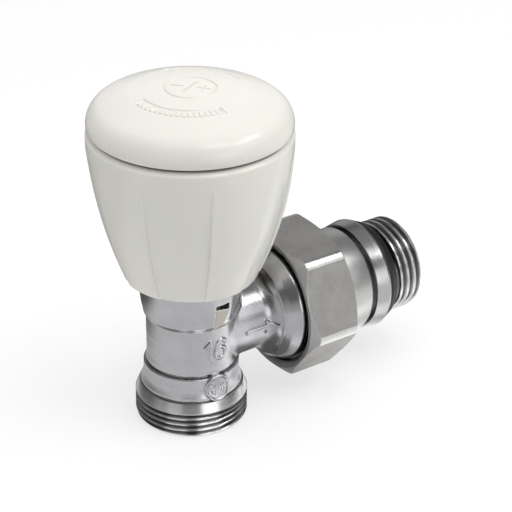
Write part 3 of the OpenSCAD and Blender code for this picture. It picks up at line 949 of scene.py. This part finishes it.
def clip_segment(inner, outer, low, high, start, stop):
    """A short stretch of ring, such as one finger of a clip."""
    angles = np.radians(np.linspace(start, stop, 13))
    outline = [
        (inner + 0.2, low), (outer - 0.25, low), (outer, low + 0.4), (outer, high), (inner, high),
        (inner, low + 0.2),
    ]
    r, h = np.array(outline).T
    verts = np.stack([np.outer(np.cos(angles), r), np.outer(np.sin(angles), r),
                      np.broadcast_to(h, (len(angles), len(r)))], axis=2).reshape(-1, 3)
    at = np.arange(len(verts)).reshape(len(angles), len(r))
    nxt = np.roll(at, -1, 1)
    quads = np.stack([at[:-1], at[1:], nxt[1:], nxt[:-1]], axis=2).reshape(-1, 4)
    return verts, [quads, np.array([at[0], at[-1][::-1]])]


# ---- Union and tailpiece

def union_nut():
    """The hexagon with its coned faces, the boss behind it, and a bore for the thread and the tailpiece."""
    hex_end = NUT_X + NUT_HEX_LEN
    boss_r = 11.8
    mouth, seat, back = 14.2, 12.05, TUBE_R + 0.1
    thread_start, thread_end, seat_end = 22.6, 29.2, 31.55
    outer = NUT_CORNER_R + 1
    thread_r = UNION_R + 0.1
    outline = [
        (mouth, NUT_X), (outer, NUT_X), (outer, hex_end), (boss_r, hex_end), (boss_r, BOSS_END - 0.5),
        (boss_r - 0.15, BOSS_END - 0.15), (boss_r - 0.5, BOSS_END), (back + 0.15, BOSS_END),
        (back, BOSS_END - 0.2), (back, seat_end), (seat, seat_end), (seat, thread_end),
        (thread_r, thread_end), (thread_r, thread_start), (13.6, thread_start), (13.6, NUT_X + 0.6),
    ]
    outline = divided(outline, 0.12, lambda r, h: r > outer - 0.01 or abs(r - thread_r) < 0.01)
    outline = divided(outline, 0.35, lambda r, h: h < NUT_X + 0.01 or abs(h - hex_end) < 0.01)

    def shape(theta, r, h):
        sixth = math.pi / 3
        turn = np.mod(theta - math.radians(NUT_TURN) + sixth / 2, sixth) - sixth / 2
        flats = NUT_HALF / np.cos(turn)
        low_cone = NUT_HALF - 0.05 + (h - NUT_X) * 1.25
        high_cone = NUT_HALF - 0.4 + (hex_end - h) * 1.9
        cone = np.minimum(np.minimum(low_cone, high_cone), NUT_CORNER_R)
        hexagon = blend_min(flats, cone, 0.22)
        hexagon = blend_max(hexagon, np.full_like(hexagon, boss_r), 0.3)
        r_new = np.where(r > outer - 0.01, hexagon, r)
        face = (r > mouth) & (r <= outer - 0.01) & (h < NUT_X + 0.01)
        step = (r > boss_r) & (r <= outer - 0.01) & (np.abs(h - hex_end) < 0.01)
        edge = np.where(h < NUT_X + 0.01, NUT_HALF - 0.05, NUT_HALF - 0.4)
        inner = np.where(h < NUT_X + 0.01, mouth, boss_r)
        share = (r - inner) / (outer - inner)
        r_new = np.where(face | step, inner + share * (np.minimum(edge, flats) - inner), r_new)
        return r_new, h

    thetas = gathered(1.5, [NUT_TURN + 30 + 60 * i for i in range(6)], 6, 49, 0.08)
    nut = turned_along_x(outline, thetas, shape)
    piece("union_nut_body", nut, "nut", NICKEL, ["union_nut"], sharp=40)


def tailpiece():
    """The tube with its seal groove, flange and radiator thread, and two lugs in its bore for a key."""
    nose, flange_r = 8.9, 11.9
    flange, flange_end = 29.3, 31.5
    bore, wide_bore = 6.5, 7.6
    root = TAIL_R - 1.2
    outline = rounded([
        (bore, NOSE_X), (nose - 0.4, NOSE_X), (nose, 27.4), (nose, 27.55), (nose - 0.95, 27.55),
        (nose - 0.95, 28.65), (nose, 28.65), (nose, flange), (flange_r, flange, 0.2),
        (flange_r, flange_end, 0.2), (TUBE_R, flange_end), (TUBE_R, RING_END), (root, RING_END),
        (root, SEAL_END + 0.1), (TAIL_R, SEAL_END + 0.12), (TAIL_R, TAIL_END - 0.2),
        (TAIL_R - 0.5, TAIL_END), (wide_bore + 0.6, TAIL_END, 0.15),
        (wide_bore, TAIL_END - 0.8), (wide_bore, 39), (bore, 38),
    ])
    outline = divided(outline, GAS_PITCH / 22, lambda r, h: r > TAIL_R - 0.3 and h > SEAL_END)

    def cut(theta, r, h):
        on_thread = (r > TAIL_R - 0.55) & (h > SEAL_END + 0.11)
        thread = thread_radius(theta, h, TAIL_R, GAS_PITCH, 48.2, TAIL_END + 4)
        starts = smooth_step(SEAL_END, SEAL_END + 0.9, h)
        thread = root + (thread - root) * starts
        chamfer = TAIL_R - 1.15 + (TAIL_END - h) * 1.1
        return np.where(on_thread, np.minimum(np.minimum(thread, chamfer), TAIL_R), r), h

    lugs = [block((44, side * 6.9 - 1.1, OUTLET_Z - 1.3), (6, 2.2, 2.6)) for side in (-1, 1)]
    body = turned_along_x(outline, change=cut)
    piece("tailpiece_body", body, "tail", TURNED_X, ["tailpiece"])
    piece("tailpiece_lugs", joined(lugs), "tail", TURNED_X)


def backing_ring():
    inner = TUBE_R + 0.02
    outline = rounded([
        (inner, RING_X), (RING_R - 0.5, RING_X, 0.3), (RING_R, RING_END - 0.5, 0.3),
        (RING_R - 0.1, RING_END, 0.2), (inner, RING_END),
    ], 8)
    ring = turned_along_x(outline)
    piece("backing_ring_turned", ring, "tail", TURNED_RING, ["backing_ring"])


def tail_seal():
    inner = TAIL_R - 1.15
    low = RING_END + 0.02
    outline = rounded([
        (inner, low), (SEAL_R, low, 0.15), (SEAL_R, low + 0.9, 0.5), (11.1, SEAL_END, 0.5), (inner, SEAL_END),
    ], 6)
    piece("tail_seal_ring", turned_along_x(outline), "tail", RUBBER, ["tail_seal"])


# ---- Hidden CAD nodes keep their shape and take a material

def dress_cad_nodes():
    finishes = {
        "machined_brass": BRASS, "spring_steel": STEEL, "black_epdm": RUBBER, "white_nylon": NYLON,
        "bright_chrome": TURNED_X, "white_abs": WHITE, "satin_chrome": CHROME, "nickel_nut": NICKEL,
    }
    slots = {s["node"]: s["material_slot"] for s in frame["record"]["subparts"]}
    for name, obj in frame["nodes"].items():
        obj.data.materials.clear()
        obj.data.materials.append(finishes[slots[name]])


# ---- Stage

CAMERA_AZIMUTH = -33.17
CAMERA_REACH = 0.340
CAMERA_HEIGHT = 0.22225
CAMERA_YAW, CAMERA_PITCH, CAMERA_ROLL = 2.28, 28.55, 0.83
CAMERA_LENS = 131.09
FLOOR_FADES_TOWARD = (-0.05, 1.01, 0)  # away from the camera and to its left
# Round lit panels, seen only in reflections: degrees right, elevation, radius in degrees and level.
PANELS = ((38, 12, 17, 1.6), (-34, 12, 15, 0.3), (68, 26, 12, 1.2))
# Softboxes: name, degrees right, elevation, width, height and power.
SOFTBOXES = (
    ("key", 42, 62, 0.26, 0.26, 0.6), ("right", 84, 49, 0.4, 0.19, 1.1), ("overhead", 0, 75, 0.6, 0.6, 3.0),
)
SOFTBOX_REACH = 0.8


def direction(right, elevation):
    """A unit vector from the valve, by its angle right of the camera and its elevation."""
    turn, lift = math.radians(right + CAMERA_AZIMUTH - 90), math.radians(elevation)
    return Vector((math.cos(turn) * math.cos(lift), math.sin(turn) * math.cos(lift), math.sin(lift)))


def lit_cone(n, lean, radius, soft, level):
    """A lit patch of directions: its level within a radius in degrees, fading out over its soft edge."""
    edge, core = (math.cos(math.radians(radius * (1 + side * soft))) for side in (1, -1))
    return n.smooth(lean, edge, core, 0.0, level)


def add_floor():
    """A pale floor. Reflections see a painted glow on it, bright in front of the valve and dark behind."""
    bpy.ops.mesh.primitive_plane_add(size=4, location=(0, 0, 0))
    floor = bpy.context.object
    floor.name = "floor"
    n = Material("pale_floor")
    grey = n.add("CombineColor")
    level = n.by_ray(0.35, 0.1, 0.8)
    for channel in grey.inputs:
        n.feed(channel, level)
    material = n.set(
        Base_Color=grey.outputs["Color"], Roughness=0.9, Emission_Color=(1, 1, 1, 1),
        Emission_Strength=n.by_ray(0.66, floor_glow(n), 0.13),
    )
    # Each kind of ray sees its own level, so the floor's glow isn't sampled as a light.
    material.cycles.emission_sampling = "NONE"
    floor.data.materials.append(material)


def floor_glow(n):
    """How bright reflections see each place on the floor, a painted glow, in metres from the valve's axis."""
    x, y, _ = n.axes(n.place)
    out = n.length(x, y)
    # Two wedges of painted glow close to the valve, to the camera's right and left.
    near = 0.12
    for right, half, level in ((24, 15, 1.5), (-20, 13, 0.7)):
        lean = n.maths("DIVIDE", n.toward(direction(right, 0)), out)
        near = n.maths("ADD", near, lit_cone(n, lean, half, 0.3, level))
    # Further out, more painted glow: a floor that fades away from the camera, a patch beside the neck and a
    # spot under the bell.
    fading = n.smooth(n.toward(FLOOR_FADES_TOWARD), 0.02, 0.052, 0.6, 0.02)
    beside = n.maths(
        "MULTIPLY", n.smooth(x, 0.01, 0.028), n.smooth(y, -0.018, -0.012, 1.0, 0.0),
        n.smooth(y, -0.034, -0.022, 0.25, 0.85),
    )
    spot = n.length(n.maths("SUBTRACT", x, 0.040), n.maths("SUBTRACT", y, 0.005))
    far = n.maths("ADD", fading, beside, n.smooth(spot, 0.008, 0.022, 0.8, 0.0))
    far = n.maths("MAXIMUM", far, n.smooth(out, 0.15, 0.25, 0.0, 0.2))
    return n.mixed(near, far, n.smooth(out, 0.020, 0.024), kind="FLOAT")


def add_world():
    """White for the camera, an even sky for the plastic, and for reflections a dim studio with lit panels."""
    world = bpy.data.worlds.new("studio")
    world.use_nodes = True
    world.node_tree.nodes.clear()
    n = Nodes(world.node_tree, "Generated")
    lift = n.spread(n.axes(n.place)["Z"], -1, 1, 0, 1)
    toward_camera = n.toward(direction(0, 0))
    ceiling = ((0.66, 0.16), (0.85, 0.35))
    back = sky(n, lift, [(-0.5, 0.08), (0, 0.08), *ceiling])
    front = sky(n, lift, [(-0.5, 0.45), (0.14, 0.45), (0.4, 0.14), *ceiling])
    glossy = n.mixed(back, front, n.smooth(toward_camera, -0.1, 0.5), kind="FLOAT")
    glossy = n.maths("ADD", glossy, n.smooth(n.toward(direction(180, 4)), 0.82, 0.96, 0.0, 0.4))
    for right, elevation, radius, level in PANELS:
        lean = n.toward(direction(right, elevation))
        glossy = n.maths("ADD", glossy, lit_cone(n, lean, radius, 0.25, level))
    diffuse = n.smooth(toward_camera, 0.0, 0.6, 0.70, 0.06)
    background = n.add("Background")
    n.feed(background.inputs["Color"], (1, 1, 1, 1))
    n.feed(background.inputs["Strength"], n.by_ray(1.0, glossy, diffuse))
    output = n.add("OutputWorld")
    n.feed(output.inputs["Surface"], background.outputs["Background"])
    world.cycles.sampling_method = "NONE"
    bpy.context.scene.world = world


def sky(n, lift, stops):
    """A level that eases between stops: pairs of a height, from -1 below to 1 overhead, and a level."""
    node = n.add("ValToRGB")
    node.color_ramp.interpolation = "EASE"
    for i, (height, level) in enumerate(stops):
        place = (height + 1) / 2
        element = node.color_ramp.elements[i] if i < 2 else node.color_ramp.elements.new(place)
        element.position = place
        element.color = (level, level, level, 1)
    n.feed(node.inputs["Fac"], lift)
    return node.outputs["Color"]


def add_lights():
    """Softboxes, all at one distance and facing the valve."""
    aim = Vector((0.01, 0, 0.04))
    for name, right, elevation, width, height, power in SOFTBOXES:
        light = bpy.data.lights.new(name, "AREA")
        light.shape = "RECTANGLE"
        light.size, light.size_y, light.energy = width, height, power
        obj = bpy.data.objects.new(name, light)
        obj.location = aim + direction(right, elevation) * SOFTBOX_REACH
        obj.rotation_euler = (aim - obj.location).to_track_quat("-Z", "Y").to_euler()
        # The overhead one only fills: it would be too large to see in the chrome.
        obj.visible_glossy = name != "overhead"
        bpy.context.scene.collection.objects.link(obj)


def add_camera():
    """A camera out along its azimuth from the valve's axis, turned by its yaw, pitch and roll."""
    across = math.radians(CAMERA_AZIMUTH)
    place = Vector((math.sin(across) * CAMERA_REACH, -math.cos(across) * CAMERA_REACH, CAMERA_HEIGHT))
    data = bpy.data.cameras.new("camera")
    data.sensor_width = 36
    data.lens = CAMERA_LENS
    camera = bpy.data.objects.new("camera", data)
    matrix = Matrix.Translation(place)
    for angle, axis in ((CAMERA_AZIMUTH - CAMERA_YAW, "Z"), (90 - CAMERA_PITCH, "X"), (CAMERA_ROLL, "Z")):
        matrix @= Matrix.Rotation(math.radians(angle), 4, axis)
    camera.matrix_world = matrix
    bpy.context.scene.collection.objects.link(camera)
    bpy.context.scene.camera = camera


forging()
inlet_thread()
union_thread()
cap_skirt()
top_disc()
union_nut()
tailpiece()
backing_ring()
tail_seal()
dress_cad_nodes()
add_floor()
add_world()
add_lights()
add_camera()
bpy.context.scene.view_settings.view_transform = "Standard"
